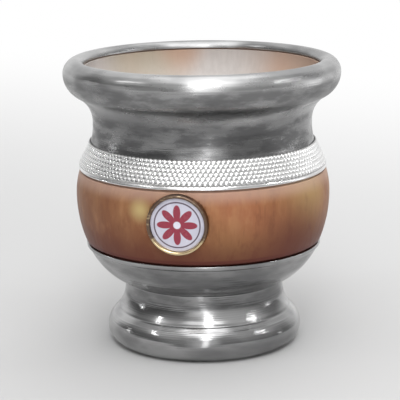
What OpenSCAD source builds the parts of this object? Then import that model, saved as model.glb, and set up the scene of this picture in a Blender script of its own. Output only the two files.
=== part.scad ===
/* [Lip] */
// Outer diameter over the rolled lip
lip_d = 80; // [74:0.5:92]
// Height of the curve under the lip, from the neck to the lip's widest line
lip_h = 13.9; // [12.5:0.1:18]
// Share of the curve under the lip that is hollow
lip_share = 0.55; // [0.3:0.01:0.7]
// Width of the roll from the lip's widest line to its highest line
roll_out = 3.8; // [3:0.1:5]
// Rise of the roll from the lip's widest line to its highest line
crown_h = 4.1; // [2.5:0.1:6]
// Width of the roll from the lip's highest line to the mouth
roll_in = 2.2; // [1.6:0.1:3]
// Depth that the lip is turned down into the mouth
lip_drop = 2.1; // [1.5:0.1:3]

/* [Neck] */
// Outer diameter at the narrowest part of the neck
neck_d = 63.4; // [58:0.2:66]
// Length of the straight part of the neck
neck_len = 1.2; // [0.2:0.1:3]
// Height of the shoulder, from the belly's widest line to the neck
shoulder_h = 19.8; // [18:0.1:24]
// Share of the shoulder curve that is rounded outward
shoulder_share = 0.58; // [0.4:0.01:0.75]

/* [Belly] */
// Outer diameter at the widest part of the belly
belly_d = 74.2; // [70:0.2:80]
// Height of the belly's widest line above the underside of the bowl
belly_h = 26.7; // [24:0.1:30]
// Height of the collar's lower edge above the belly's widest line
hem_up = 7.4; // [6:0.1:8]
// Depth of the bowl's upper edge below the belly's widest line
rim_down = 14.5; // [13:0.1:16]
// Depth of the bare wood below the face of the metal
bare_inset = 0.25; // [0.05:0.05:0.3]
// Radius of the rounded edges of the bare wood
wood_edge_r = 0.5; // [0.2:0.05:0.55]

/* [Wood] */
// Thickness of the wood at the neck
neck_wall = 4.3; // [3:0.1:6]
// Thickness of the wood under the drink
floor_t = 8; // [7:0.5:14]
// Radius of the hollow's lower corner
bore_corner_r = 19; // [8:0.5:21]
// Ledge of the wood inside the turned-in edge of the lip
mouth_ledge = 0.3; // [0:0.05:1]

/* [Metal] */
// Thickness of the spun sheet
sheet_t = 0.8; // [0.5:0.05:1.1]
// Gap filled with glue between the sheet and the wood
glue_gap = 0.1; // [0.05:0.05:0.2]
// Open joint between the edge of the sheet and the step in the wood
joint_gap = 0.35; // [0.1:0.05:0.5]
// Gap filled with solder between two pieces of metal
solder_gap = 0.05; // [0.03:0.01:0.1]

/* [Rope band] */
// Plain strip below the band
hem_w = 1.2; // [1:0.1:3]
// Height of the band
band_h = 6.2; // [4:0.1:7]
// Rows of beads in the band
band_rows = 6; // [3:1:7]
// Distance from one bead to the next along a row
bead_pitch = 1.42; // [1.4:0.02:3]
// Lean of the beads, in bead widths for each row
bead_lean = 0.45; // [0:0.05:1]
// Thickness of the strip between the beads
band_t = 0.25; // [0.2:0.05:0.6]
// Rise of the beads above the strip
bead_rise = 0.4; // [0.2:0.05:0.8]
// Depth of the scallops along both edges of the band
scallop = 0.15; // [0.05:0.05:0.3]

/* [Base] */
// Height of the flat underside of the bowl above the table
base_h = 18; // [16:0.1:21]
// Diameter of the flat underside of the bowl
bowl_flat_d = 37.8; // [32:0.2:42]
// Height of the bead along the bowl's upper edge
rim_bead_h = 1.4; // [0.8:0.1:2.5]
// Rise of that bead above the bowl
rim_bead_rise = 0.3; // [0.1:0.05:0.6]
// Outer diameter of the foot where it meets the bowl
waist_d = 46.3; // [44.1:0.1:52]
// Length of the straight collar where the foot meets the bowl
waist_len = 1.7; // [0.8:0.1:2.5]
// Outer diameter of the foot
foot_d = 56.8; // [52:0.2:64]
// Height of the foot's widest line, which is the radius of its rounded edge
foot_round = 4.7; // [2:0.1:6]
// Share of the foot's curve that is rounded outward
foot_share = 0.37; // [0.2:0.01:0.7]
// Height of the turned line round the foot above its widest line
foot_line_up = 5.7; // [2:0.1:7]
// Width of the turned line
foot_line_w = 0.8; // [0.4:0.1:1.5]
// Depth of the turned line
foot_line_t = 0.15; // [0.05:0.05:0.3]
// Width of the flat ring that the cup stands on
ring_w = 2.5; // [1.5:0.1:4]

/* [Base screw] */
// Diameter of the screw's shank
screw_d = 3.2; // [2.5:0.1:4]
// Depth of the screw in the wood
screw_bite = 6; // [4:0.5:6]
// Diameter of the screw's head
screw_head_d = 6.4; // [5:0.1:8]
// Height of the screw's head
screw_head_h = 2; // [1.5:0.1:3]
// Width of the slot in the head
slot_w = 0.8; // [0.5:0.1:1.2]
// Depth of the slot in the head
slot_h = 1; // [0.5:0.1:1.3]
// Diameter of the washer
washer_d = 9.5; // [8.5:0.5:13]
// Thickness of the washer
washer_t = 0.8; // [0.5:0.1:1.5]

/* [Badge] */
// Diameter over the brass bezel
badge_d = 17; // [12:0.5:18.5]
// Bare wood between the badge and the collar
badge_above = 0.8; // [0.5:0.1:2]
// Depth of the flat seat that is bored for the badge
seat_depth = 1.2; // [1:0.1:2]
// Height of the bezel above its seat
bezel_h = 2.3; // [2:0.1:3]
// Width of the rounded rim of the bezel
bezel_rim_w = 0.9; // [0.8:0.1:2]
// Thickness of the bezel's back
bezel_back_t = 0.7; // [0.5:0.1:1]
// Thickness of the enamel at its edge
enamel_t = 0.6; // [0.4:0.1:0.8]
// Rise of the enamel to its centre
enamel_rise = 0.4; // [0.1:0.05:0.6]
// Diameter of the pin behind the badge
pin_d = 2.2; // [1.5:0.1:3]
// Wood between the tip of the pin and the hollow
pin_cover = 4.3; // [2:0.1:5]
// Clearance round pins, screws and seats
fit_gap = 0.06; // [0.03:0.01:0.15]

/* [Hidden] */
$fn = 120;
curve_n = 18;
cut_over = 1;
edge_break = 0.25;
lip_r = lip_d / 2;
crown_r = lip_r - roll_out;
mouth_r = crown_r - roll_in;
neck_r = neck_d / 2;
belly_r = belly_d / 2;
bowl_flat_r = bowl_flat_d / 2;
waist_r = waist_d / 2;
foot_r = foot_d / 2;
bezel_r = badge_d / 2;
bowl_z = base_h;
belly_z = bowl_z + belly_h;
rim_z = belly_z - rim_down;
hem_z = belly_z + hem_up;
neck_z = belly_z + shoulder_h;
neck_top_z = neck_z + neck_len;
lip_z = neck_top_z + lip_h;
crown_z = lip_z + crown_h;
lip_edge_z = crown_z - lip_drop;
cover = sheet_t + glue_gap;
bore_r = neck_r - cover - neck_wall;
bowl_a = belly_r - bowl_flat_r;
bowl_b = belly_z - bowl_z;
wood_z = bowl_z + cover;
floor_z = wood_z + floor_t;
bore_corner_z = floor_z + bore_corner_r;
band_lo_z = hem_z + hem_w;
foot_line_z = foot_round + foot_line_up;
badge_spot = belly_at(hem_z - badge_above - bezel_r);
seat_in = bare_inset + seat_depth;
pin_len = badge_spot[0] - seat_in - bore_at(badge_spot[1]) - pin_cover;
enamel_r = bezel_r - bezel_rim_w;
head_z = bowl_z - washer_t;

metal = [0.62, 0.62, 0.63];
bright_metal = [0.8, 0.8, 0.81];
brass = [0.72, 0.58, 0.3];

// Each point of a turned profile is [radius, height, outward normal]

function unit2(v) = v / norm(v);
function on_ellipse(c, a, b, t) =
    let (n = unit2([cos(t) / a, sin(t) / b]))
    [c[0] + a * cos(t), c[1] + b * sin(t), n[0], n[1]];
function arc_path(c, a, b, t0, t1) =
    [for (i = [0 : curve_n]) on_ellipse(c, a, b, t0 + (t1 - t0) * i / curve_n)];

// Double curve that leaves lo and reaches hi upright; share is the first arc's part of it
function on_sweep(z, lo, hi, share) =
    let (dr = hi[0] - lo[0],
         dz = hi[1] - lo[1],
         turn = 2 * atan(abs(dr) / dz),
         total = dz / sin(turn),
         r_lo = share * total,
         r_hi = total - r_lo,
         side = sign(dr),
         first = z <= lo[1] + r_lo * sin(turn),
         h = first ? z - lo[1] : hi[1] - z,
         rad = first ? r_lo : r_hi,
         w = sqrt(rad * rad - h * h),
         n = unit2([1, -side * h / w]))
    [first ? lo[0] + side * (rad - w) : hi[0] - side * (rad - w), z, n[0], n[1]];
function sweep_path(z0, z1, lo, hi, share) =
    [for (i = [0 : curve_n]) on_sweep(z0 + (z1 - z0) * i / curve_n, lo, hi, share)];

function inset(path, d) = [for (p = path) [p[0] - d * p[2], p[1] - d * p[3]]];
function flip(list) = [for (i = [len(list) - 1 : -1 : 0]) list[i]];

// The outer faces of the cup, from the table to the mouth
function on_shoulder(z) = on_sweep(z, [belly_r, belly_z], [neck_r, neck_z], shoulder_share);
function bowl_turn(z) = -asin((belly_z - z) / bowl_b);
function on_bowl(z) = on_ellipse([bowl_flat_r, belly_z], bowl_a, bowl_b, bowl_turn(z));
function belly_at(z) = z < belly_z ? on_bowl(z) : on_shoulder(z);
function bore_at(z) =
    z > bore_corner_z ? bore_r : bore_r - bore_corner_r + sqrt(pow(bore_corner_r, 2) - pow(bore_corner_z - z, 2));
function bowl_under(r) = belly_z - bowl_b * sin(acos((r - bowl_flat_r) / bowl_a));
function bowl_path(z0, z1) = arc_path([bowl_flat_r, belly_z], bowl_a, bowl_b, bowl_turn(z0), bowl_turn(z1));
function shoulder_path(z0, z1) =
    sweep_path(z0, z1, [belly_r, belly_z], [neck_r, neck_z], shoulder_share);
function collar_path(z0) = concat(
    shoulder_path(z0, neck_z),
    sweep_path(neck_top_z, lip_z, [neck_r, neck_top_z], [lip_r, lip_z], lip_share),
    arc_path([crown_r, lip_z], lip_r - crown_r, crown_h, 0, 90),
    arc_path([crown_r, lip_edge_z], crown_r - mouth_r, lip_drop, 90, 180));
function flare_path(z0, z1) =
    let (top = bowl_under(waist_r) - solder_gap - waist_len)
    sweep_path(z0, min(z1, top), [foot_r, foot_round], [waist_r, top], foot_share);
function foot_path() = concat(
    [[foot_r - foot_round - ring_w, 0, 0, -1]],
    arc_path([foot_r - foot_round, foot_round], foot_round, foot_round, -90, 0),
    flare_path(foot_round, bowl_z));

// A path swelled outward by rise along its length, or hollowed where rise is below zero
function swell(path, rise) = [for (i = [0 : curve_n])
    let (p = path[i], up = rise * sin(180 * i / curve_n))
    [p[0] + up * p[2], p[1] + up * p[3]]];

// Spun sheet whose outer face follows the path
module spun_sheet(path) {
    rotate_extrude()
        polygon(concat(inset(path, 0), flip(inset(path, sheet_t))));
}

// Places a piece of the badge on its flat seat, facing out of the belly
module on_seat() {
    translate([0, seat_in * badge_spot[2] - badge_spot[0], badge_spot[1] - seat_in * badge_spot[3]])
        rotate([acos(badge_spot[3]), 0, 0])
            children();
}

// Turned wooden cup: steps for the sheet at shoulder and base, rounded edges between them, a flared mouth and a
// round-cornered hollow
module wood_cup() {
    step_lo = rim_z + joint_gap;
    step_hi = hem_z - joint_gap;
    ledge_z = lip_edge_z - joint_gap;
    ledge_r = mouth_r - mouth_ledge;
    flare = sweep_path(neck_z, ledge_z, [bore_r, neck_z], [ledge_r, ledge_z], 0.5);
    corner = arc_path([bore_r - bore_corner_r, bore_corner_z], bore_corner_r, bore_corner_r, 0, -90);
    edge_n = 6;
    function on_edge(z, side, i) =
        let (t = 90 * i / edge_n,
             p = belly_at(z + side * wood_edge_r * (1 - cos(t))),
             d = bare_inset + wood_edge_r * (1 - sin(t)))
        [p[0] - d * p[2], p[1] - d * p[3]];
    edge_lo = [for (i = [0 : edge_n]) on_edge(step_lo, 1, i)];
    edge_hi = [for (i = [0 : edge_n]) on_edge(step_hi, -1, edge_n - i)];
    color([0.66, 0.45, 0.32])
        difference() {
            rotate_extrude()
                polygon(concat(
                    [[0, wood_z]],
                    inset(bowl_path(bowl_z, step_lo), cover),
                    edge_lo,
                    inset(bowl_path(step_lo + wood_edge_r, belly_z), bare_inset),
                    inset(shoulder_path(belly_z, step_hi - wood_edge_r), bare_inset),
                    edge_hi,
                    inset(collar_path(step_hi), cover),
                    [[mouth_r + cover, ledge_z]],
                    flip(inset(flare, 0)),
                    inset(corner, 0),
                    [[0, floor_z]]));
            on_seat()
                cylinder(r = bezel_r + fit_gap, h = lip_d);
            on_seat()
                translate([0, 0, -pin_len - fit_gap])
                    cylinder(d = pin_d + 2 * fit_gap, h = pin_len + cut_over);
            translate([0, 0, wood_z - cut_over])
                cylinder(d = screw_d + 2 * fit_gap, h = cut_over + screw_bite + fit_gap);
        }
}

// Spun collar: skirt, neck and the lip that is rolled over the wood and down into the mouth
module collar() {
    color(metal)
        spun_sheet(collar_path(hem_z));
}

// Pressed rope band: rows of leaning beads on a thin strip, soldered round the shoulder
module rope_band() {
    mid_r = on_shoulder(band_lo_z + band_h / 2)[0];
    beads = round(2 * PI * mid_r / bead_pitch);
    back_strips = 3;
    ridge = [0.25, 0.75];
    top = band_rows;
    function spot(i, row, level, along = 0) =
        let (p = on_shoulder(band_lo_z + band_h * row / band_rows + along),
             r = p[0] + level * p[2],
             turn = 360 * (i - bead_lean * row) / beads)
        [r * cos(turn), r * sin(turn), p[1] + level * p[3]];
    function corner_in(row) = row == 0 ? scallop : row == top ? -scallop : 0;
    corners = [for (row = [0 : top]) for (i = [0 : beads - 1]) spot(i, row, band_t, corner_in(row))];
    ridges = [for (row = [0 : top - 1]) for (s = ridge) for (i = [0 : beads - 1])
        spot(i + 0.5, row + s, band_t + bead_rise)];
    edges = [for (row = [0, top]) for (i = [0 : beads - 1]) spot(i + 0.5, row, band_t)];
    backs = [for (k = [0 : back_strips]) for (i = [0 : beads - 1]) spot(i, top * k / back_strips, solder_gap)];
    ridge_at = len(corners);
    edge_at = ridge_at + len(ridges);
    back_at = edge_at + len(edges);
    function wrap(i) = i % beads;
    function c_id(row, i) = row * beads + wrap(i);
    function r_id(row, s, i) = ridge_at + (2 * row + s) * beads + i;
    function e_id(s, i) = edge_at + s * beads + i;
    function b_id(k, i) = back_at + k * beads + wrap(i);
    sides = [for (row = [0 : top - 1]) for (i = [0 : beads - 1])
        let (a = c_id(row, i), b = c_id(row, i + 1), c = c_id(row + 1, i), d = c_id(row + 1, i + 1),
             p = r_id(row, 0, i), q = r_id(row, 1, i))
        each [[a, c, q], [a, q, p], [p, q, d], [p, d, b]]];
    lower_ends = [for (row = [1 : top - 1]) for (i = [0 : beads - 1])
        [c_id(row, i), r_id(row, 0, i), c_id(row, i + 1)]];
    upper_ends = [for (row = [0 : top - 2]) for (i = [0 : beads - 1])
        [c_id(row + 1, i), c_id(row + 1, i + 1), r_id(row, 1, i)]];
    lower_rim = [for (i = [0 : beads - 1])
        let (a = c_id(0, i), b = c_id(0, i + 1), m = e_id(0, i), p = r_id(0, 0, i), g = b_id(0, i),
             h = b_id(0, i + 1))
        each [[a, p, m], [m, p, b], [a, m, g], [m, b, h], [m, h, g]]];
    upper_rim = [for (i = [0 : beads - 1])
        let (c = c_id(top, i), d = c_id(top, i + 1), m = e_id(1, i), q = r_id(top - 1, 1, i),
             g = b_id(back_strips, i), h = b_id(back_strips, i + 1))
        each [[c, m, q], [m, d, q], [m, c, g], [d, m, h], [m, g, h]]];
    back = [for (k = [0 : back_strips - 1]) for (i = [0 : beads - 1])
        each [[b_id(k, i), b_id(k, i + 1), b_id(k + 1, i)],
              [b_id(k, i + 1), b_id(k + 1, i + 1), b_id(k + 1, i)]]];
    color(bright_metal)
        polyhedron(concat(corners, ridges, edges, backs),
                   concat(sides, lower_ends, upper_ends, lower_rim, upper_rim, back));
}

// Spun bowl under the belly, with a bead along its upper edge and a screw hole in its flat underside
module base_bowl() {
    bead_z = rim_z - rim_bead_h;
    wall = concat(bowl_path(bowl_z, bead_z), bowl_path(bead_z, rim_z));
    hole_r = screw_d / 2 + fit_gap;
    color(metal)
        rotate_extrude()
            polygon(concat(
                [[hole_r, bowl_z]],
                inset(bowl_path(bowl_z, bead_z), 0),
                swell(bowl_path(bead_z, rim_z), rim_bead_rise),
                flip(inset(wall, sheet_t)),
                [[hole_r, bowl_z + sheet_t]]));
}

// Spun foot: flared skirt with a turned line and a rounded edge, turned in to the flat ring that the cup stands on
module foot() {
    in_r = waist_r - sheet_t;
    line_lo = foot_line_z - foot_line_w / 2;
    line_hi = foot_line_z + foot_line_w / 2;
    color(metal)
        rotate_extrude()
            polygon(concat(
                [[foot_r - foot_round - ring_w, 0]],
                inset(arc_path([foot_r - foot_round, foot_round], foot_round, foot_round, -90, 0), 0),
                inset(flare_path(foot_round, line_lo), 0),
                swell(flare_path(line_lo, line_hi), -foot_line_t),
                inset(flare_path(line_hi, bowl_z), 0),
                [[waist_r, bowl_under(waist_r) - solder_gap], [in_r, bowl_under(in_r) - solder_gap]],
                flip(inset(foot_path(), sheet_t))));
}

// Washer between the screw's head and the bowl
module base_washer() {
    color(metal)
        translate([0, 0, head_z])
            difference() {
                cylinder(d = washer_d, h = washer_t);
                translate([0, 0, -cut_over])
                    cylinder(d = screw_d + 2 * fit_gap, h = washer_t + 2 * cut_over);
            }
}

// Slotted screw that holds the bowl to the wood
module base_screw() {
    head = arc_path([0, head_z], screw_head_d / 2, screw_head_h, 0, -90);
    color(metal)
        difference() {
            rotate_extrude()
                polygon(concat(
                    [[screw_d / 2, wood_z + screw_bite - screw_d / 2], [screw_d / 2, head_z]],
                    inset(head, 0),
                    [[0, wood_z + screw_bite]]));
            translate([-screw_head_d, -slot_w / 2, head_z - screw_head_h - cut_over])
                cube([2 * screw_head_d, slot_w, slot_h + cut_over]);
        }
}

// Brass bezel: a shallow cup with a rounded rim
module badge_bezel() {
    rim_r = bezel_rim_w / 2;
    rim = arc_path([bezel_r - rim_r, bezel_h - rim_r], rim_r, rim_r, 0, 180);
    color(brass)
        on_seat()
            rotate_extrude()
                polygon(concat(
                    [[0, 0], [bezel_r - edge_break, 0], [bezel_r, edge_break]],
                    inset(rim, 0),
                    [[enamel_r, bezel_back_t], [0, bezel_back_t]]));
}

// Enamel that fills the bezel, slightly crowned
module badge_enamel() {
    r = enamel_r - fit_gap;
    edge_z = bezel_back_t + enamel_t;
    color([0.86, 0.85, 0.88])
        on_seat()
            rotate_extrude()
                polygon(concat(
                    [[0, bezel_back_t], [r, bezel_back_t]],
                    inset(arc_path([0, edge_z], r, enamel_rise, 0, 90), 0)));
}

// Pin brazed to the back of the bezel and pressed into the wood
module badge_pin() {
    color(brass)
        on_seat()
            translate([0, 0, -pin_len])
                cylinder(d = pin_d, h = pin_len);
}

wood_cup();
collar();
rope_band();
base_bowl();
foot();
base_washer();
base_screw();
badge_bezel();
badge_enamel();
badge_pin();
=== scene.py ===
import math
import bmesh
import bpy
from mathutils import Matrix, Vector


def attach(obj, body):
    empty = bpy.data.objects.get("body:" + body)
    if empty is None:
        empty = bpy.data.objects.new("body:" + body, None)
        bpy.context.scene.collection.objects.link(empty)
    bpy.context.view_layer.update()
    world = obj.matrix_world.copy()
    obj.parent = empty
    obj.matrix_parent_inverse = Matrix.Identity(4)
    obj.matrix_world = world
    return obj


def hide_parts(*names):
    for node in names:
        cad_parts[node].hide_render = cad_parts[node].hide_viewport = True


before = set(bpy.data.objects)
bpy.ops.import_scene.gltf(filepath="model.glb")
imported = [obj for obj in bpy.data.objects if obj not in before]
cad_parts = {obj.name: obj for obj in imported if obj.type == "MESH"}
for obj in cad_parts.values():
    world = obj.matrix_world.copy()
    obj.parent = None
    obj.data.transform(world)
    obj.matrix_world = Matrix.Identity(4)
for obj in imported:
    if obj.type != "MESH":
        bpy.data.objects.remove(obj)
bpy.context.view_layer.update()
bpy.context.scene.view_settings.view_transform = "Standard"

# Wooden cup
# The body: one block of brown hardwood, turned on a lathe and hollowed for the drink. It is stepped where
# metal covers it, varnished on the bare belly and left raw inside. A flat seat is bored for the badge.
mm = 0.001
bowl_flat_r, bowl_z = 18.9, 18.0
belly_r, belly_z = 37.1, 44.7
neck_r, neck_z, neck_top_z, shoulder_share = 31.7, 64.5, 65.7, 0.58
lip_r, lip_z, lip_share = 40.0, 79.6, 0.55
crown_r, crown_h = 36.2, 4.1
mouth_r, lip_edge_z, lip_drop = 34.0, 81.6, 2.1
hem_z, rim_z, joint_gap = 52.1, 30.2, 0.35
cover, bare_inset, wood_edge_r = 0.9, 0.25, 0.5
bore_r, floor_z, bore_corner_r, mouth_ledge = 26.5, 26.9, 19.0, 0.3
screw_hole_r, screw_hole_depth = 1.66, 6.06


def on_ellipse(centre, across, up, turn):
    """Point and outward normal on an ellipse, at a turn in degrees from its outer end."""
    cosine, sine = math.cos(math.radians(turn)), math.sin(math.radians(turn))
    out = Vector((cosine / across, sine / up)).normalized()
    return centre[0] + across * cosine, centre[1] + up * sine, out.x, out.y


def ellipse_run(centre, across, up, start, end, steps):
    turns = [start + (end - start) * i / steps for i in range(steps + 1)]
    return [on_ellipse(centre, across, up, turn) for turn in turns]


def on_sweep(z, low, high, share):
    """Point and outward normal on a double curve of two arcs that leaves low and reaches high upright."""
    rise = high[1] - low[1]
    turn = 2 * math.atan(abs(high[0] - low[0]) / rise)
    side = math.copysign(1, high[0] - low[0])
    whole = rise / math.sin(turn)
    on_first = z <= low[1] + share * whole * math.sin(turn)
    arc_r = whole * (share if on_first else 1 - share)
    from_end = z - low[1] if on_first else high[1] - z
    reach = math.sqrt(arc_r * arc_r - from_end * from_end)
    out = Vector((1, -side * from_end / reach)).normalized()
    sag = side * (arc_r - reach)
    return (low[0] + sag if on_first else high[0] - sag), z, out.x, out.y


def sweep_run(z0, z1, low, high, share, steps):
    heights = [z0 + (z1 - z0) * i / steps for i in range(steps + 1)]
    return [on_sweep(z, low, high, share) for z in heights]


def face_line(run, depth=0.0):
    """The points of a run, set back from its face by a depth."""
    return [(r - depth * out_r, z - depth * out_z) for r, z, out_r, out_z in run]


def bowl_turn(z):
    return -math.degrees(math.asin(min(1, (belly_z - z) / (belly_z - bowl_z))))


def bowl_run(z0, z1, steps):
    centre, across, up = (bowl_flat_r, belly_z), belly_r - bowl_flat_r, belly_z - bowl_z
    return ellipse_run(centre, across, up, bowl_turn(z0), bowl_turn(z1), steps)


def shoulder_run(z0, z1, steps):
    return sweep_run(z0, z1, (belly_r, belly_z), (neck_r, neck_z), shoulder_share, steps)


def belly_at(z):
    return bowl_run(z, z, 1)[0] if z < belly_z else shoulder_run(z, z, 1)[0]


def collar_run(z0, steps):
    return (shoulder_run(z0, neck_z, steps)
            + sweep_run(neck_top_z, lip_z, (neck_r, neck_top_z), (lip_r, lip_z), lip_share, steps)
            + ellipse_run((crown_r, lip_z), lip_r - crown_r, crown_h, 0, 90, steps // 2)[1:]
            + ellipse_run((crown_r, lip_edge_z), crown_r - mouth_r, lip_drop, 90, 180, steps // 3)[1:])


def add(tree, kind, values=None, **settings):
    """A new node, with its settings, and with a number or a wire on each input named."""
    made = tree.nodes.new(kind)
    for name, value in settings.items():
        setattr(made, name, value)
    for key, value in (values or {}).items():
        if isinstance(value, bpy.types.NodeSocket):
            tree.links.new(value, made.inputs[key])
        else:
            made.inputs[key].default_value = value
    return made


def reckon(tree, operation, a, b=0.0):
    return add(tree, "ShaderNodeMath", {0: a, 1: b}, operation=operation).outputs[0]


def vector_math(tree, operation, *terms):
    return add(tree, "ShaderNodeVectorMath", dict(enumerate(terms)), operation=operation).outputs


def xyz_of(tree, vector):
    return add(tree, "ShaderNodeSeparateXYZ", {0: vector}).outputs


def position_of(tree):
    return add(tree, "GeometryNodeInputPosition").outputs[0]


def new_tree(name, kind, inputs, outputs):
    """An empty node group with named sockets; gives the group and its input and output nodes."""
    tree = bpy.data.node_groups.new(name, kind)
    for way, sockets in (("INPUT", inputs), ("OUTPUT", outputs)):
        for label, socket in sockets:
            tree.interface.new_socket(label, in_out=way, socket_type="NodeSocket" + socket)
    return tree, add(tree, "NodeGroupInput"), add(tree, "NodeGroupOutput")


def points_in(tree, geometry):
    made = add(tree, "GeometryNodeAttributeDomainSize", {"Geometry": geometry}, component="MESH")
    return made.outputs["Point Count"]


def unit_grid(tree, columns, rows):
    """A flat grid of points, and how far across and how far up it each point is, as shares."""
    grid = add(tree, "GeometryNodeMeshGrid", {
        "Size X": 1.0, "Size Y": 1.0, "Vertices X": columns, "Vertices Y": rows})
    place = xyz_of(tree, position_of(tree))
    return grid.outputs["Mesh"], reckon(tree, "ADD", place[0], 0.5), reckon(tree, "ADD", place[1], 0.5)


def grid_number(tree, share, count):
    """Which column or row of a grid a point is in."""
    return reckon(tree, "ROUND", reckon(tree, "MULTIPLY", share, reckon(tree, "SUBTRACT", count, 1.0)))


def sampled(tree, geometry, value, number):
    """A vector of one point of the geometry, by its number."""
    made = add(tree, "GeometryNodeSampleIndex", {"Geometry": geometry, 1: value, "Index": number},
               data_type="FLOAT_VECTOR")
    return made.outputs[0]


def swung_round(tree, vector, angle):
    made = add(tree, "ShaderNodeVectorRotate", {"Vector": vector, "Angle": angle}, rotation_type="Z_AXIS")
    return made.outputs[0]


def end_tree(tree, geometry, finish, tree_out):
    """Ends a tree in real mesh with a finish."""
    real = add(tree, "GeometryNodeRealizeInstances", {"Geometry": geometry})
    dressed = add(tree, "GeometryNodeSetMaterial", {"Geometry": real.outputs[0], "Material": finish})
    tree.links.new(dressed.outputs[0], tree_out.inputs[0])


# The lathe: a half section, drawn as a line of points, is turned once round the axis
weld_gap = 1e-6
lathe, half, turned_out = new_tree(
    "lathe", "GeometryNodeTree",
    [("Half section", "Geometry"), ("Steps round", "Int"), ("Sharp edge", "Float"), ("Finish", "Material")],
    [("Turned piece", "Geometry")])
section = half.outputs["Half section"]
columns = reckon(lathe, "ADD", half.outputs["Steps round"], 1.0)
grid, share_round, share_along = unit_grid(lathe, columns, points_in(lathe, section))
point_number = grid_number(lathe, share_along, points_in(lathe, section))
section_point = sampled(lathe, section, position_of(lathe), point_number)
swung = swung_round(lathe, section_point, reckon(lathe, "MULTIPLY", share_round, 2 * math.pi))
shell = add(lathe, "GeometryNodeSetPosition", {"Geometry": grid, "Position": swung})
closed = add(lathe, "GeometryNodeMergeByDistance", {"Geometry": shell.outputs[0], "Distance": weld_gap})
smooth = add(lathe, "GeometryNodeSetShadeSmooth", {
    "Geometry": closed.outputs[0], "Shade Smooth": True}, domain="FACE")
edge_angle = add(lathe, "GeometryNodeInputMeshEdgeAngle").outputs["Unsigned Angle"]
soft = add(lathe, "FunctionNodeCompare", {0: edge_angle, 1: half.outputs["Sharp edge"]},
           data_type="FLOAT", operation="LESS_THAN")
edged = add(lathe, "GeometryNodeSetShadeSmooth", {
    "Geometry": smooth.outputs[0], "Shade Smooth": soft.outputs[0]}, domain="EDGE")
end_tree(lathe, edged.outputs[0], half.outputs["Finish"], turned_out)


def settle(piece):
    """Turns a piece's modifiers into plain mesh, with its faces pointing outwards."""
    bpy.context.view_layer.update()
    evaluated = piece.evaluated_get(bpy.context.evaluated_depsgraph_get())
    mesh = bpy.data.meshes.new_from_object(evaluated)
    piece.modifiers.clear()
    piece.data = mesh
    mesh.name = piece.name
    work = bmesh.new()
    work.from_mesh(mesh)
    bmesh.ops.recalc_face_normals(work, faces=work.faces)
    work.to_mesh(mesh)
    work.free()


def run_tree(piece, tree, inputs):
    """Runs a tree on a piece with these inputs, and leaves the result as the piece's plain mesh."""
    step = piece.modifiers.new(tree.name, "NODES")
    step.node_group = tree
    for item in tree.interface.items_tree:
        if item.in_out == "INPUT" and item.name in inputs:
            step[item.identifier] = inputs[item.name]
    settle(piece)


def new_piece(name, points, edges):
    """A piece of loose points and edges, in millimetres, for a tree to work on."""
    mesh = bpy.data.meshes.new(name)
    mesh.from_pydata([(x * mm, y * mm, z * mm) for x, y, z in points], edges, [])
    piece = bpy.data.objects.new(name, mesh)
    bpy.context.scene.collection.objects.link(piece)
    return piece


def turn_piece(name, line, finish, steps=256, sharp=math.radians(35)):
    """A piece turned from a half section of (radius, height) points in millimetres."""
    piece = new_piece(name, [(r, 0, z) for r, z in line], [(i, i + 1) for i in range(len(line) - 1)])
    run_tree(piece, lathe, {"Steps round": steps, "Sharp edge": sharp, "Finish": finish})
    return piece


def new_finish(name):
    made = bpy.data.materials.new(name)
    made.use_nodes = True
    made.node_tree.nodes.clear()
    return made, made.node_tree


def shade(tree, values):
    """Ends a material in one Principled shader with these values."""
    shader = add(tree, "ShaderNodeBsdfPrincipled", values)
    add(tree, "ShaderNodeOutputMaterial", {"Surface": shader.outputs[0]})


def object_place(tree):
    return add(tree, "ShaderNodeTexCoord").outputs["Object"]


def stretched_noise(tree, at, upright, per_metre, detail=2.0, rough=0.5):
    """Noise that is so many times as fine upright as it is across."""
    spread = add(tree, "ShaderNodeMapping", {"Vector": at, "Scale": (1, 1, upright)})
    return add(tree, "ShaderNodeTexNoise", {
        "Vector": spread.outputs[0], "Scale": per_metre, "Detail": detail, "Roughness": rough}).outputs


def between(tree, value, low, high, to_low=0.0, to_high=1.0):
    """A smooth step: low becomes to_low and high becomes to_high."""
    made = add(tree, "ShaderNodeMapRange", {
        "Value": value, "From Min": low, "From Max": high, "To Min": to_low, "To Max": to_high},
        interpolation_type="SMOOTHSTEP")
    return made.outputs[0]


def blend_colour(tree, share, a, b):
    return add(tree, "ShaderNodeMix", {0: share, 6: a, 7: b}, data_type="RGBA").outputs[2]


def laid_over(tree, colour, layers):
    """A colour with layers over it in their order, each a share and a tint."""
    for share, tint in layers:
        colour = blend_colour(tree, share, colour, tint)
    return colour


def bumped(tree, height, depth, **more):
    return add(tree, "ShaderNodeBump", {"Height": height, "Distance": depth, **more}).outputs[0]


early_wood, late_wood = (0.39, 0.188, 0.085, 1), (0.295, 0.123, 0.053, 1)
red_tint, honey_tint, heart_tint = (0.34, 0.12, 0.065, 1), (0.46, 0.29, 0.1, 1), (0.2, 0.09, 0.045, 1)
figure_dark, figure_light = (0.2, 0.08, 0.04, 1), (0.48, 0.25, 0.12, 1)
fibre_tint, pore_tint = (0.2, 0.09, 0.05, 1), (0.12, 0.05, 0.028, 1)
painted_glint_tint, painted_highlight_tint, painted_shade_tint = (0.56, 0.44, 0.2, 1), (0.46, 0.33, 0.15, 1), (0.13, 0.045, 0.028, 1)
grime_and_shade_tint, painted_sheen_tint = (0.12, 0.035, 0.025, 1), (0.55, 0.39, 0.32, 1)
raw_fibre, raw_wood = (0.52, 0.49, 0.47, 1), (0.56, 0.53, 0.51, 1)
raw_olive, raw_rose, raw_rust = (0.43, 0.37, 0.25, 1), (0.48, 0.34, 0.26, 1), (0.52, 0.32, 0.22, 1)
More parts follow.
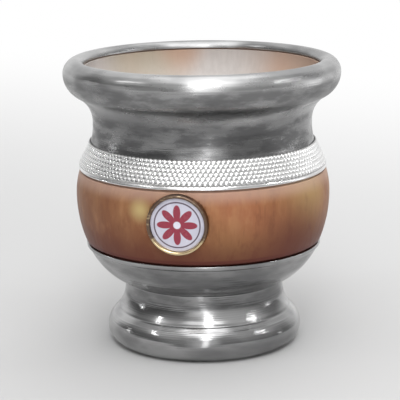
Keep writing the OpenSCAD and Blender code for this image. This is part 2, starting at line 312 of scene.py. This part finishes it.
pith, ring_gap, ring_bend, ring_upright, grain_depth = (-0.055, 0.075, 0.0), 0.0046, 0.014, 0.12, 0.00002

varnished_wood, tree = new_finish("varnished_wood")
at = object_place(tree)
bend_all = (ring_bend, ring_bend, 0.0)
warp = stretched_noise(tree, at, 0.3, 22)
bent = vector_math(tree, "MULTIPLY_ADD", warp["Color"], bend_all, at)["Vector"]
from_pith = vector_math(tree, "SUBTRACT", bent, pith)["Vector"]
flattened = vector_math(tree, "MULTIPLY", from_pith, (1, 1, ring_upright))["Vector"]
out_from_pith = vector_math(tree, "LENGTH", flattened)["Value"]
ring = reckon(tree, "PINGPONG", reckon(tree, "DIVIDE", out_from_pith, ring_gap), 1.0)
fibre = stretched_noise(tree, at, 0.05, 900, 3)[0]
pore = between(tree, stretched_noise(tree, at, 0.06, 1500, 1)[0], 0.62, 0.72)
patch = stretched_noise(tree, at, 0.7, 34, 1)[0]
glow = stretched_noise(tree, at, 0.8, 21, 1)[0]
figure = stretched_noise(tree, at, 0.5, 260, 3, 0.6)[0]
layers = [(between(tree, patch, 0.42, 0.7, 0, 0.7), red_tint),
          (between(tree, glow, 0.46, 0.68, 0, 0.75), honey_tint),
          (between(tree, out_from_pith, 0.13, 0.1, 0, 0.65), heart_tint),
          (between(tree, figure, 0.5, 0.72, 0, 0.6), figure_dark),
          (between(tree, figure, 0.5, 0.3, 0, 0.35), figure_light),
          (between(tree, fibre, 0.3, 0.7, 0.16, 0), fibre_tint),
          (reckon(tree, "MULTIPLY", pore, 0.15), pore_tint)]
# Painted light on the wood: a pale painted glint beside the badge, a pale painted highlight at the right
# shoulder and painted shade low on the right
for x, y, z, reach, share, tint in ((-11.4, -35.1, 46.2, 4.8, 0.8, painted_glint_tint),
                                    (32.4, -17.0, 49.0, 12, 0.6, painted_highlight_tint),
                                    (29.8, -20.0, 35.5, 19, 0.85, painted_shade_tint)):
    middle = Vector((x, y, z)) * mm + Vector(bend_all) / 2
    off_middle = vector_math(tree, "DISTANCE", bent, middle)["Value"]
    layers.append((between(tree, off_middle, reach * mm, 0.0, 0, share), tint))
height = xyz_of(tree, at)[2]
# Darkened at the joint with the bowl's rim, and darker and darker toward the bottom with painted shade
at_rim = between(tree, height, (rim_z + 2.2) * mm, (rim_z + 0.4) * mm, 0, 0.45)
painted_low_shade = between(tree, height, (rim_z + 15) * mm, rim_z * mm, 0, 0.88)
layers.append((reckon(tree, "ADD", at_rim, painted_low_shade), grime_and_shade_tint))
# A painted sheen: the wood just under the hem is made paler and pinker
layers.append((between(tree, height, (hem_z - 5) * mm, (hem_z - 0.8) * mm, 0, 0.5), painted_sheen_tint))
ringed = blend_colour(tree, between(tree, ring, 0.15, 0.95), early_wood, late_wood)
varnished = laid_over(tree, ringed, layers)
raw = laid_over(tree, blend_colour(tree, between(tree, fibre, 0.3, 0.7), raw_fibre, raw_wood), (
    (between(tree, out_from_pith, 0.068, 0.055, 0, 0.9), raw_olive),
    (between(tree, out_from_pith, 0.075, 0.1, 0, 0.85), raw_rose),
    (between(tree, patch, 0.48, 0.68, 0, 0.7), raw_rust)))
hollow = add(tree, "ShaderNodeAttribute", attribute_name="hollow").outputs["Fac"]
shade(tree, {
    "Base Color": blend_colour(tree, hollow, varnished, raw),
    "Roughness": reckon(tree, "ADD", between(tree, fibre, 0.2, 0.8, 0.36, 0.48),
                        reckon(tree, "MULTIPLY", hollow, 0.25)),
    "Normal": bumped(tree, reckon(tree, "SUBTRACT", fibre, pore), grain_depth, Strength=0.5),
    "Coat Weight": between(tree, hollow, 0, 1, 0.05, 0.0), "Coat Roughness": 0.16,
    "Specular IOR Level": 0.12})

wood_z, ledge_z = bowl_z + cover, lip_edge_z - joint_gap
step_lo, step_hi = rim_z + joint_gap, hem_z - joint_gap
ledge_r, bore_corner_z = mouth_r - mouth_ledge, floor_z + bore_corner_r


def round_edge(z, side, turns):
    """Rounded edge of the bare wood: side is 1 at its lower step and -1 at its upper one."""
    line = []
    for turn in turns:
        point = belly_at(z + side * wood_edge_r * (1 - math.cos(math.radians(turn))))
        line += face_line([point], bare_inset + wood_edge_r * (1 - math.sin(math.radians(turn))))
    return line


flare = sweep_run(neck_z, ledge_z, (bore_r, neck_z), (ledge_r, ledge_z), 0.5, 40)
corner = ellipse_run((bore_r - bore_corner_r, bore_corner_z), bore_corner_r, bore_corner_r, 0, -90, 30)
turned_cup = turn_piece("turned_cup", (
    [(0, wood_z)] + face_line(bowl_run(bowl_z, step_lo, 16), cover)
    + round_edge(step_lo, 1, range(0, 91, 15))
    + face_line(bowl_run(step_lo + wood_edge_r, belly_z, 30), bare_inset)
    + face_line(shoulder_run(belly_z, step_hi - wood_edge_r, 16), bare_inset)[1:]
    + round_edge(step_hi, -1, range(90, -1, -15))
    + face_line(collar_run(step_hi, 14), cover) + [(mouth_r + cover, ledge_z)]
    + face_line(flare)[::-1] + face_line(corner) + [(0, floor_z)]), varnished_wood)

# The seat for the badge, its pin hole and the hole for the base screw are bored out
bezel_r, badge_above, seat_depth, fit_gap, pin_cover, pin_r = 8.5, 0.8, 1.2, 0.06, 4.3, 1.1
clear_of_wood, below_wood = 12, wood_z - 1
spot = belly_at(hem_z - badge_above - bezel_r)
seat_in = bare_inset + seat_depth
seat = (Matrix.Translation((0, (seat_in * spot[2] - spot[0]) * mm, (spot[1] - seat_in * spot[3]) * mm))
        @ Matrix.Rotation(math.acos(spot[3]), 4, "X"))
bore_there = bore_r - bore_corner_r + math.sqrt(bore_corner_r ** 2 - max(0, bore_corner_z - spot[1]) ** 2)
pin_len = spot[0] - seat_in - bore_there - pin_cover
pin_hole_r, pin_hole_end, seat_r = pin_r + fit_gap, -pin_len - fit_gap, bezel_r + fit_gap
bit = turn_piece("bit", [
    (0, pin_hole_end), (pin_hole_r, pin_hole_end), (pin_hole_r, 0), (seat_r, 0), (seat_r, clear_of_wood),
    (0, clear_of_wood)], varnished_wood, steps=128)
bit.data.transform(seat)
screw_hole_top = wood_z + screw_hole_depth
drill = turn_piece("drill", [
    (0, below_wood), (screw_hole_r, below_wood), (screw_hole_r, screw_hole_top), (0, screw_hole_top)],
    varnished_wood, steps=48)
for tool in (bit, drill):
    cut = turned_cup.modifiers.new(tool.name, "BOOLEAN")
    cut.object, cut.operation, cut.solver = tool, "DIFFERENCE", "EXACT"
settle(turned_cup)
for tool in (bit, drill):
    bpy.data.objects.remove(tool)

# The wall and floor of the hollow are marked, so that the finish leaves them raw
height_slack, floor_slack, wall_slack = 0.01, 0.02, 0.3
inside = turned_cup.data.attributes.new("hollow", "FLOAT", "POINT")
hollow_line = sorted((z, r) for r, z in face_line(corner) + face_line(flare))
for point in turned_cup.data.vertices:
    r, z = point.co.xy.length / mm, point.co.z / mm
    wall = next((wall_r for wall_z, wall_r in hollow_line if wall_z >= z - height_slack), ledge_r)
    inside.data[point.index].value = 1.0 if z > floor_z - floor_slack and r < wall + wall_slack else 0.0
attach(turned_cup, "root")
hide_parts("wood_cup")

# Collar
# A skirt, neck and rolled lip in one, spun from sheet white metal over the wood, rolled down into the
# mouth and polished on the lathe. It is glued on, and its rolled hem stops just above a step in the wood.
sheet_t, band_lo_z, hem_rise, hem_peak, collar_edge_r = 0.8, 53.3, 0.2, 0.25, 0.2
dull_metal, bright_metal = (0.26, 0.26, 0.262, 1), (0.45, 0.45, 0.45, 1)
grime_and_shade_metal, rubbed_metal = (0.13, 0.13, 0.132, 1), (0.85, 0.85, 0.85, 1)
wave_depth, line_depth = 0.0018, 0.00004


def ease_corners(line, radius, steps=4, sharper_than=40, most_of_side=0.6):
    """A closed half section with its corners rounded, as an edge that was polished."""
    points = [Vector(p) for i, p in enumerate(line) if (Vector(p) - Vector(line[i - 1])).length > weld_gap]
    eased = []
    for i, point in enumerate(points):
        before, after = points[i - 1] - point, points[(i + 1) % len(points)] - point
        opening = before.angle(after)
        if math.pi - opening < math.radians(sharper_than):
            eased.append(tuple(point))
            continue
        reach = min(radius / math.tan(opening / 2), most_of_side * min(before.length, after.length))
        start, end = point + before.normalized() * reach, point + after.normalized() * reach
        for k in range(steps + 1):
            t = k / steps
            eased.append(tuple((1 - t) ** 2 * start + 2 * t * (1 - t) * point + t * t * end))
    return eased + eased[:1]


def swelled(run, rise, peak=0.5):
    """A run with a rounded swelling, highest at a share of its length; a groove where rise is below zero."""
    line = []
    for i, point in enumerate(run):
        share = i / (len(run) - 1)
        off_peak = (peak - share) / peak if share < peak else (share - peak) / (1 - peak)
        line += face_line([point], -rise * math.cos(off_peak * math.pi / 2))
    return line


def out_from_axis(tree, place):
    across = add(tree, "ShaderNodeCombineXYZ", {0: place[0], 1: place[1]}).outputs[0]
    return vector_math(tree, "LENGTH", across)["Value"]


# What the lathe and the polishing cloth leave: fine lines round the piece, smudges, waves and blotches
lathe_marks, marks_in, marks_out = new_tree(
    "lathe_marks", "ShaderNodeTree", [("Lines per metre", "Float"), ("Smudges per metre", "Float")],
    [("Lines", "Float"), ("Smudges", "Float"), ("Waves", "Float"), ("Blotches", "Float")])
at = object_place(lathe_marks)
place = xyz_of(lathe_marks, at)
section_at = add(lathe_marks, "ShaderNodeCombineXYZ", {0: out_from_axis(lathe_marks, place), 1: place[2]})
lines = add(lathe_marks, "ShaderNodeTexNoise", {
    "Vector": section_at.outputs[0], "Scale": marks_in.outputs["Lines per metre"], "Detail": 2.0},
    noise_dimensions="2D")
moved = add(lathe_marks, "ShaderNodeMapping", {
    "Vector": at, "Location": (0.9, 0.4, 0.1), "Scale": (1, 1, 3.2)})
smudges = add(lathe_marks, "ShaderNodeTexNoise", {
    "Vector": moved.outputs[0], "Scale": marks_in.outputs["Smudges per metre"], "Detail": 5.0,
    "Roughness": 0.6})
waves = stretched_noise(lathe_marks, at, 1.6, 55, 1)
blotches = stretched_noise(lathe_marks, at, 3, 45, 3)
for socket, mark in zip(marks_out.inputs, (lines.outputs[0], smudges.outputs[0], waves[0], blotches[0])):
    lathe_marks.links.new(mark, socket)


def marks_on(tree, lines, smudges):
    """The lathe's marks in a material, with so many lines and smudges to the metre."""
    values = {"Lines per metre": lines, "Smudges per metre": smudges}
    return add(tree, "ShaderNodeGroup", values, node_tree=lathe_marks).outputs


def within(tree, height, low, high, fade_below, fade_above):
    """1 between two heights in millimetres, and less and less below and above them."""
    return reckon(tree, "MULTIPLY", between(tree, height, (low - fade_below) * mm, low * mm),
                  between(tree, height, (high + fade_above) * mm, high * mm))


white_metal, tree = new_finish("white_metal")
marks = marks_on(tree, 2400, 105)
at = object_place(tree)
height = xyz_of(tree, at)[2]
layers = [(between(tree, marks["Lines"], 0.35, 0.65, 0.12, 0), dull_metal)]
# Painted shade and painted dark reflections, with some grime, lie in the neck, under the lip, under the bowl
# and at the waist, thicker where there are smudges
for low, high, fade, least, most in ((61, 68, 3, 0.6, 1.0), (74.5, 78.5, 2, 0.3, 0.75),
                                     (25, 28, 3, 0.3, 0.55), (15.2, 18, 1.2, 0.4, 0.8)):
    grime_and_shade = between(tree, marks["Smudges"], 0.37, 0.6, least, most)
    in_recess = within(tree, height, low, high, fade, fade)
    layers.append((reckon(tree, "MULTIPLY", in_recess, grime_and_shade), grime_and_shade_metal))
# A painted dark reflection lies on the foot's right, the hem is rubbed bright, and handling has worn the
# upper metal satin
shade_patch_place, shade_patch_reach, shade_patch_share = Vector((22.5, -12, 10)) * mm, 15 * mm, 0.7
off_shade_patch = vector_math(tree, "DISTANCE", at, shade_patch_place)["Value"]
layers.append((between(tree, off_shade_patch, shade_patch_reach, 0.0, 0, shade_patch_share), grime_and_shade_metal))
on_hem = within(tree, height, hem_z, band_lo_z, 0.3, 0.2)
layers.append((reckon(tree, "MULTIPLY", on_hem, 0.8), rubbed_metal))
worn_from, worn_to, satin = 20 * mm, 80 * mm, 0.13
rough = reckon(tree, "ADD", between(tree, marks["Smudges"], 0.3, 0.7, 0.12, 0.22),
               between(tree, height, worn_from, worn_to, 0, satin))
blotched = blend_colour(tree, between(tree, marks["Blotches"], 0.4, 0.66), bright_metal, dull_metal)
wavy = bumped(tree, marks["Waves"], wave_depth)
shade(tree, {"Base Color": laid_over(tree, blotched, layers), "Metallic": 1.0, "Roughness": rough,
             "Normal": bumped(tree, marks["Lines"], line_depth, Normal=wavy)})

hem_roll = swelled(shoulder_run(hem_z, band_lo_z, 12), hem_rise, hem_peak)
collar_face = hem_roll + face_line(collar_run(band_lo_z, 60))[1:]
collar_back = face_line(collar_run(hem_z, 60)[::-1][::3] + collar_run(hem_z, 60)[:1], sheet_t)
spun_collar = turn_piece("spun_collar", ease_corners(collar_face + collar_back, collar_edge_r), white_metal)
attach(spun_collar, "root")
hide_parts("collar")

# Rope band
# A pressed strip of bright white metal, soldered round the shoulder above a plain hem. Six rows of
# leaning beads stand on it like laid rope, and painted shade with some dirt darkens the valleys between
# them.
band_h, band_rows, bead_pitch, bead_lean = 6.2, 6, 1.42, 0.45
band_t, bead_rise, solder_gap, scallop, strip_edge_r = 0.25, 0.4, 0.05, 0.15, 0.08
bead_wide, bead_long = 2.1, 1.75
band_bright, band_dirt_and_shade, band_dull = (0.93, 0.93, 0.93, 1), (0.62, 0.615, 0.61, 1), (0.45, 0.45, 0.45, 1)
band_grain_depth = 0.00002

# The roping: a bead is set at even steps round each row, and leans with the rows
roping, rows_in, roped_out = new_tree(
    "roping", "GeometryNodeTree",
    [("Rows", "Geometry"), ("Beads round", "Int"), ("Lean per row", "Float"), ("Bead size", "Vector"),
     ("Finish", "Material")],
    [("Beads", "Geometry")])
rows, bead_count = rows_in.outputs["Rows"], rows_in.outputs["Beads round"]
grid, share_round, share_up = unit_grid(roping, bead_count, points_in(roping, rows))
row = grid_number(roping, share_up, points_in(roping, rows))
shift = reckon(roping, "MULTIPLY", reckon(roping, "ADD", row, 0.5), rows_in.outputs["Lean per row"])
bead = reckon(roping, "SUBTRACT", grid_number(roping, share_round, bead_count), shift)
swing = reckon(roping, "MULTIPLY", reckon(roping, "DIVIDE", bead, bead_count), 2 * math.pi)


def from_row(value):
    """A vector of the bead's row, swung round to the bead's place."""
    return swung_round(roping, sampled(roping, rows, value, row), swing)


def row_vector(name):
    made = add(roping, "GeometryNodeInputNamedAttribute", {"Name": name}, data_type="FLOAT_VECTOR")
    return made.outputs[0]


lay = add(roping, "FunctionNodeAxesToRotation", {
    "Primary Axis": from_row(row_vector("outward")), "Secondary Axis": from_row(row_vector("lay"))},
    primary_axis="Z", secondary_axis="Y")
ball = add(roping, "GeometryNodeMeshUVSphere", {"Segments": 12, "Rings": 6, "Radius": 1.0})
ball_up = xyz_of(roping, position_of(roping))[2]
risen = add(roping, "GeometryNodeStoreNamedAttribute", {
    "Geometry": ball.outputs[0], "Name": "rise", "Value": ball_up}, data_type="FLOAT", domain="POINT")
ball_smooth = add(roping, "GeometryNodeSetShadeSmooth", {0: risen.outputs[0], "Shade Smooth": True})
strung = add(roping, "GeometryNodeInstanceOnPoints", {
    "Points": grid, "Instance": ball_smooth.outputs[0], "Rotation": lay.outputs[0],
    "Scale": rows_in.outputs["Bead size"]})
laid = add(roping, "GeometryNodeSetPosition", {
    "Geometry": strung.outputs[0], "Position": from_row(position_of(roping))})
end_tree(roping, laid.outputs[0], rows_in.outputs["Finish"], roped_out)

band_metal, tree = new_finish("band_metal")
marks = marks_on(tree, 1800, 160)
rise = add(tree, "ShaderNodeAttribute", attribute_name="rise").outputs["Fac"]
smudged_rise = reckon(tree, "ADD", rise, reckon(tree, "MULTIPLY", marks["Smudges"], 0.3))
# Painted shade, with some dirt, darkens the valleys between the beads
dirt_and_shade = between(tree, smudged_rise, 1.0, 0.7)
dulled = between(tree, marks["Blotches"], 0.42, 0.62, 0, 0.3)
shade(tree, {"Base Color": laid_over(tree, band_bright, ((dirt_and_shade, band_dirt_and_shade), (dulled, band_dull))),
             "Metallic": 1.0, "Roughness": between(tree, dirt_and_shade, 0, 1, 0.22, 0.5),
             "Normal": bumped(tree, marks["Smudges"], band_grain_depth)})

row_h = band_h / band_rows
row_run = [shoulder_run(band_lo_z + row_h * (k + 0.5), neck_z, 1)[0] for k in range(band_rows)]
beads_round = round(2 * math.pi * row_run[band_rows // 2][0] / bead_pitch)
rope_beads = new_piece("rope_beads", [(r, 0, z) for r, z in face_line(row_run, -band_t)], [])
outward = rope_beads.data.attributes.new("outward", "FLOAT_VECTOR", "POINT")
laying = rope_beads.data.attributes.new("lay", "FLOAT_VECTOR", "POINT")
for k, point in enumerate(row_run):
    out_r, out_z = point[2:]
    outward.data[k].vector = (out_r, 0, out_z)
    laying.data[k].vector = (-out_z * row_h / out_r, -bead_lean * bead_pitch, row_h)
run_tree(rope_beads, roping, {
    "Beads round": beads_round, "Lean per row": bead_lean, "Finish": band_metal,
    "Bead size": (bead_wide / 2 * mm, bead_long / 2 * mm, bead_rise * mm)})

strip_run = shoulder_run(band_lo_z + scallop, band_lo_z + band_h - scallop, 12)
strip_line = face_line(strip_run, -band_t) + face_line(strip_run[::-1], -solder_gap)
strip = turn_piece("strip", ease_corners(strip_line, strip_edge_r), band_metal)
work = bmesh.new()
for made in (rope_beads, strip):
    work.from_mesh(made.data)
work.to_mesh(rope_beads.data)
work.free()
bpy.data.objects.remove(strip)
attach(rope_beads, "root")
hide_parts("rope_band")

# Base bowl
# A bowl spun from the same white metal sheet, in which the wood sits. A bead is rolled along its upper
# edge, and a screw through its flat underside holds it to the wood.
rim_bead_h, rim_bead_rise, bowl_edge_r = 1.4, 0.3, 0.15
plain_wall = bowl_run(bowl_z, rim_z - rim_bead_h, 72)
rim_wall = bowl_run(rim_z - rim_bead_h, rim_z, 18)
bowl_face = [(screw_hole_r, bowl_z)] + face_line(plain_wall) + swelled(rim_wall, rim_bead_rise)[1:]
bowl_back = face_line((plain_wall + rim_wall[1:])[::-1][::3], sheet_t) + [(screw_hole_r, bowl_z + sheet_t)]
spun_bowl = turn_piece("spun_bowl", ease_corners(bowl_face + bowl_back, bowl_edge_r), white_metal)
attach(spun_bowl, "root")
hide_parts("base_bowl")

# Foot
# A flared skirt spun from the sheet, soldered under the bowl. Its edge is rounded and turned in to the
# flat ring that the cup stands on, a line is turned round it, and it is open underneath.
waist_r, waist_len, foot_r, foot_round, foot_share = 23.15, 1.7, 28.4, 4.7, 0.37
ring_w, foot_edge_r = 2.5, 0.15
foot_line_z, foot_line_w, foot_line_t = 10.4, 0.8, 0.07


def bowl_under(r):
    """Height of the bowl's underside at a radius."""
    return belly_z - (belly_z - bowl_z) * math.sin(math.acos((r - bowl_flat_r) / (belly_r - bowl_flat_r)))


waist_top, waist_back_top = bowl_under(waist_r) - solder_gap, bowl_under(waist_r - sheet_t) - solder_gap
flare_top = waist_top - waist_len


def flare_run(z0, z1, steps):
    return sweep_run(z0, z1, (foot_r, foot_round), (waist_r, flare_top), foot_share, steps)


roll = ellipse_run((foot_r - foot_round, foot_round), foot_round, foot_round, -90, 0, 28)
line_lo, line_hi = foot_line_z - foot_line_w / 2, foot_line_z + foot_line_w / 2
ring_edge_r = foot_r - foot_round - ring_w
foot_face = ([(ring_edge_r, 0)] + face_line(roll) + face_line(flare_run(foot_round, line_lo, 30))[1:]
             + swelled(flare_run(line_lo, line_hi, 12), -foot_line_t)[1:]
             + face_line(flare_run(line_hi, flare_top, 40))[1:]
             + [(waist_r, waist_top), (waist_r - sheet_t, waist_back_top)])
foot_wall = roll + flare_run(foot_round, flare_top, 40)[1:]
foot_back = face_line(foot_wall[::-1][::2], sheet_t) + [(ring_edge_r, sheet_t)]
spun_foot = turn_piece("spun_foot", ease_corners(foot_face + foot_back, foot_edge_r), white_metal)
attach(spun_foot, "root")
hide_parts("foot")

# Base screw and washer
# A slotted steel screw and its washer, out of sight inside the foot. They pull the bowl up against
# the wood, and are plain steel, a little dull from damp.
clean_steel, damp_steel, brush_depth = (0.5, 0.5, 0.5, 1), (0.24, 0.21, 0.19, 1), 0.00001
dull_steel, tree = new_finish("dull_steel")
marks = marks_on(tree, 2600, 420)
damp = between(tree, marks["Smudges"], 0.45, 0.7)
shade(tree, {"Base Color": blend_colour(tree, damp, clean_steel, damp_steel), "Metallic": 1.0,
             "Roughness": between(tree, damp, 0, 1, 0.28, 0.5),
             "Normal": bumped(tree, marks["Lines"], brush_depth)})
for name in ("base_washer", "base_screw"):
    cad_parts[name].material_slots[0].material = dull_steel

# Badge
# A round brass bezel with a rounded rim, pressed into the bored seat by a brass pin brazed to its back.
# Glossy white enamel fills it, slightly crowned, with a red rosette and a dark ring as its picture.
bezel_h, bezel_rim_w, bezel_back_t, edge_break = 2.3, 0.9, 0.7, 0.25
enamel_t, enamel_rise = 0.6, 0.4
enamel_r = bezel_r - bezel_rim_w
bright_brass, dark_brass, rub_depth = (0.75, 0.6, 0.36, 1), (0.17, 0.115, 0.085, 1), 0.00003
enamel_shade, enamel_white = (0.57, 0.557, 0.66, 1), (0.64, 0.627, 0.73, 1)
heart_white, petal_red, ring_dark = (0.76, 0.74, 0.84, 1), (0.28, 0.012, 0.04, 1), (0.09, 0.06, 0.09, 1)

old_brass, tree = new_finish("old_brass")
marks = marks_on(tree, 2400, 300)
height = xyz_of(tree, object_place(tree))[2]
# The bezel is brighter at its lower edge as a painted highlight, and darker toward its top as painted shade,
# over tarnish from the smudges
painted_shine_and_shade = between(tree, height, (spot[1] - 7) * mm, (spot[1] - 2) * mm, -0.3, 0.25)
tarnish_and_shade = between(tree, reckon(tree, "ADD", marks["Smudges"], painted_shine_and_shade), 0.42, 0.68)
shade(tree, {"Base Color": blend_colour(tree, tarnish_and_shade, bright_brass, dark_brass), "Metallic": 1.0,
             "Roughness": between(tree, tarnish_and_shade, 0, 1, 0.16, 0.36),
             "Normal": bumped(tree, marks["Smudges"], rub_depth)})
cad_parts["badge_pin"].material_slots[0].material = old_brass

rim_r = bezel_rim_w / 2
rim_run = ellipse_run((bezel_r - rim_r, bezel_h - rim_r), rim_r, rim_r, 0, 180, 20)
brass_bezel = turn_piece("brass_bezel", (
    [(0, 0), (bezel_r - edge_break, 0), (bezel_r, edge_break)] + face_line(rim_run)
    + [(enamel_r, bezel_back_t), (0, bezel_back_t)]), old_brass, steps=144)

# The rosette is drawn on the enamel in shares of its radius
petal_pairs, petal_start, petal_len, petal_soft = 4.0, 0.28, 0.46, 0.02
enamel, tree = new_finish("enamel")
into_badge = seat.inverted()
at = object_place(tree)
on_face = add(tree, "ShaderNodeMapping", {
    "Vector": at, "Location": into_badge.to_translation(), "Rotation": into_badge.to_euler()}).outputs[0]
place = xyz_of(tree, on_face)
out = reckon(tree, "DIVIDE", out_from_axis(tree, place), enamel_r * mm)
angle = reckon(tree, "ARCTAN2", place[1], place[0])
wave = reckon(tree, "COSINE", reckon(tree, "MULTIPLY", angle, petal_pairs))
petal = reckon(tree, "MULTIPLY", petal_len, reckon(tree, "ABSOLUTE", wave))
past_petal = reckon(tree, "SUBTRACT", out, reckon(tree, "ADD", petal_start, petal))
ring_line = reckon(tree, "MULTIPLY", between(tree, out, 0.8, 0.82), between(tree, out, 0.87, 0.85))
cloud = stretched_noise(tree, at, 1, 320, 2)[0]
clouded = blend_colour(tree, between(tree, cloud, 0.3, 0.7), enamel_shade, enamel_white)
colour = laid_over(tree, clouded, ((between(tree, past_petal, petal_soft, -petal_soft), petal_red),
                                   (between(tree, out, 0.15, 0.12), heart_white), (ring_line, ring_dark)))
shade(tree, {"Base Color": colour, "Roughness": between(tree, cloud, 0.3, 0.7, 0.18, 0.3),
             "Coat Weight": between(tree, cloud, 0.3, 0.7, 0.6, 0.8), "Coat Roughness": 0.06})
face_r, face_z = enamel_r - fit_gap, bezel_back_t + enamel_t
enamel_face = turn_piece("enamel_face", [(0, bezel_back_t), (face_r, bezel_back_t)] + face_line(
    ellipse_run((0, face_z), face_r, enamel_rise, 0, 90, 24)), enamel, steps=96)
for made, node, slot in ((brass_bezel, "badge_bezel", "brass"), (enamel_face, "badge_enamel", "enamel")):
    made.data.transform(seat)
    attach(made, "root")
    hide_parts(node)

# Floor, light and camera
# A plain pale sheet in a soft white room. Two lamps in front give the bright streak down the metal, four
# small ones its sparks, and a card the light on the lip's right. The camera has the photograph's angle.
floor_r, floor_grey, floor_white_by = 4.0, (0.57, 0.57, 0.57, 1), 0.5
backwards = (0.35, 0.94, 0.0)
bpy.ops.mesh.primitive_circle_add(vertices=96, radius=floor_r, fill_type="NGON")
floor = bpy.context.object
floor.name = "floor"


def by_eye(tree):
    """1 where the camera looks straight, or by way of metal or glass; 0 for light that falls on the cup."""
    seen = add(tree, "ShaderNodeLightPath").outputs
    through = reckon(tree, "MAXIMUM", seen["Is Glossy Ray"], seen["Is Transmission Ray"])
    return reckon(tree, "MAXIMUM", seen["Is Camera Ray"], through)


pale, tree = new_finish("pale_floor")
behind = vector_math(tree, "DOT_PRODUCT", object_place(tree), backwards)["Value"]
white = reckon(tree, "MULTIPLY", by_eye(tree), between(tree, behind, 0.0, floor_white_by))
lit = add(tree, "ShaderNodeBsdfPrincipled", {"Base Color": floor_grey, "Roughness": 0.9})
shining = add(tree, "ShaderNodeEmission", {"Strength": 1.0})
both = add(tree, "ShaderNodeMixShader", {0: white, 1: lit.outputs[0], 2: shining.outputs[0]})
add(tree, "ShaderNodeOutputMaterial", {"Surface": both.outputs[0]})
floor.data.materials.append(pale)

target = Vector((0, 0, 0.042))
camera_azimuth, camera_elevation, camera_distance = 11.1, 12.77, 0.4886


def from_target(azimuth, elevation, distance):
    a, e = math.radians(azimuth), math.radians(elevation)
    return target + distance * Vector((math.sin(a) * math.cos(e), -math.cos(a) * math.cos(e), math.sin(e)))


def soft_lamp(name, place, aim, width, height, watts, spread=180):
    lamp = bpy.data.lights.new(name, "AREA")
    lamp.shape, lamp.size, lamp.size_y = "RECTANGLE", width, height
    lamp.energy, lamp.spread = watts, math.radians(spread)
    stand = bpy.data.objects.new(name, lamp)
    bpy.context.scene.collection.objects.link(stand)
    stand.location = place
    stand.rotation_euler = (aim - place).to_track_quat("-Z", "Y").to_euler()


tall_away, tall_width, tall_height, tall_watts = 0.75, 0.13, 1.4, 1.3
tall_place = from_target(camera_azimuth, 0, tall_away)
tall_place.z = tall_height / 2
tall_aim = Vector((0, 0, tall_height / 2))
soft_lamp("front_strip", tall_place, tall_aim, tall_width, tall_height, tall_watts)
square_up, square_away, square_side, square_watts = 38, 0.68, 0.18, 0.5
square_place = from_target(camera_azimuth, square_up, square_away)
soft_lamp("front_lamp", square_place, target, square_side, square_side, square_watts)
spark_away, spark_width, spark_height = 0.8, 0.055, 0.04
for name, azimuth, elevation, watts, spread in (
        ("left_spark", -66, 36, 0.008, 30), ("right_spark", 81, 34, 0.008, 30),
        ("left_back_spark", -101, 4, 0.0011, 12), ("right_back_spark", 101, 5, 0.00045, 12)):
    spark_place = from_target(camera_azimuth + azimuth, elevation, spark_away)
    soft_lamp(name, spark_place, target, spark_width, spark_height, watts, spread)
card_turn, card_away, card_z, card_width, card_height = 95, 0.12, 0.095, 0.09, 0.05
card_watts, card_spread = 0.005, 75
card_place = from_target(camera_azimuth + card_turn, 0, card_away)
card_place.z = card_z
card_aim = Vector((0, 0, card_z))
soft_lamp("right_card", card_place, card_aim, card_width, card_height, card_watts, card_spread)

world = bpy.data.worlds.new("studio")
world.use_nodes = True
tree = world.node_tree
looking = add(tree, "ShaderNodeTexCoord").outputs["Generated"]


def bright_patch(round_from_camera, elevation, from_cosine, to_cosine, dim, bright):
    """A patch of the room, dim at one cosine from its middle and bright at another."""
    middle = from_target(camera_azimuth + round_from_camera, elevation, 1.0) - target
    nearness = vector_math(tree, "DOT_PRODUCT", looking, middle)["Value"]
    return between(tree, nearness, from_cosine, to_cosine, dim, bright)


dome = bright_patch(60, 75, -0.05, 0.95, 0.17, 0.72)
front = bright_patch(-4, 12, 0.88, 0.99, 0.0, 0.8)
window = bright_patch(0, 65, 0.87, 0.98, 0.0, 2.6)
zenith = bright_patch(180, 82, 0.9, 0.98, 0.0, 1.8)
side = bright_patch(150, 45, 0.85, 0.98, 0.0, 0.8)
backdrop = reckon(tree, "MULTIPLY", by_eye(tree), bright_patch(180, 25, 0.3, 0.85, 0.0, 1.0))
lights = reckon(tree, "ADD", reckon(tree, "MAXIMUM", window, zenith), reckon(tree, "ADD", front, side))
room = reckon(tree, "MAXIMUM", reckon(tree, "ADD", dome, lights), backdrop)
tree.nodes["Background"].inputs["Color"].default_value = (1, 1, 1, 1)
tree.links.new(room, tree.nodes["Background"].inputs["Strength"])
bpy.context.scene.world = world

lens = bpy.data.cameras.new("camera")
lens.lens, lens.sensor_width = 150.22, 36.0
camera = bpy.data.objects.new("camera", lens)
bpy.context.scene.collection.objects.link(camera)
camera.location = from_target(camera_azimuth, camera_elevation, camera_distance)
aim_left, aim_down, roll_angle = 0.00092, 0.00053, -0.625
level = (target - camera.location).to_track_quat("-Z", "Y").to_matrix()
aim = target - level.col[0] * aim_left - level.col[1] * aim_down
camera.rotation_euler = ((aim - camera.location).to_track_quat("-Z", "Y").to_matrix()
                         @ Matrix.Rotation(math.radians(roll_angle), 3, "Z")).to_euler()
bpy.context.scene.camera = camera
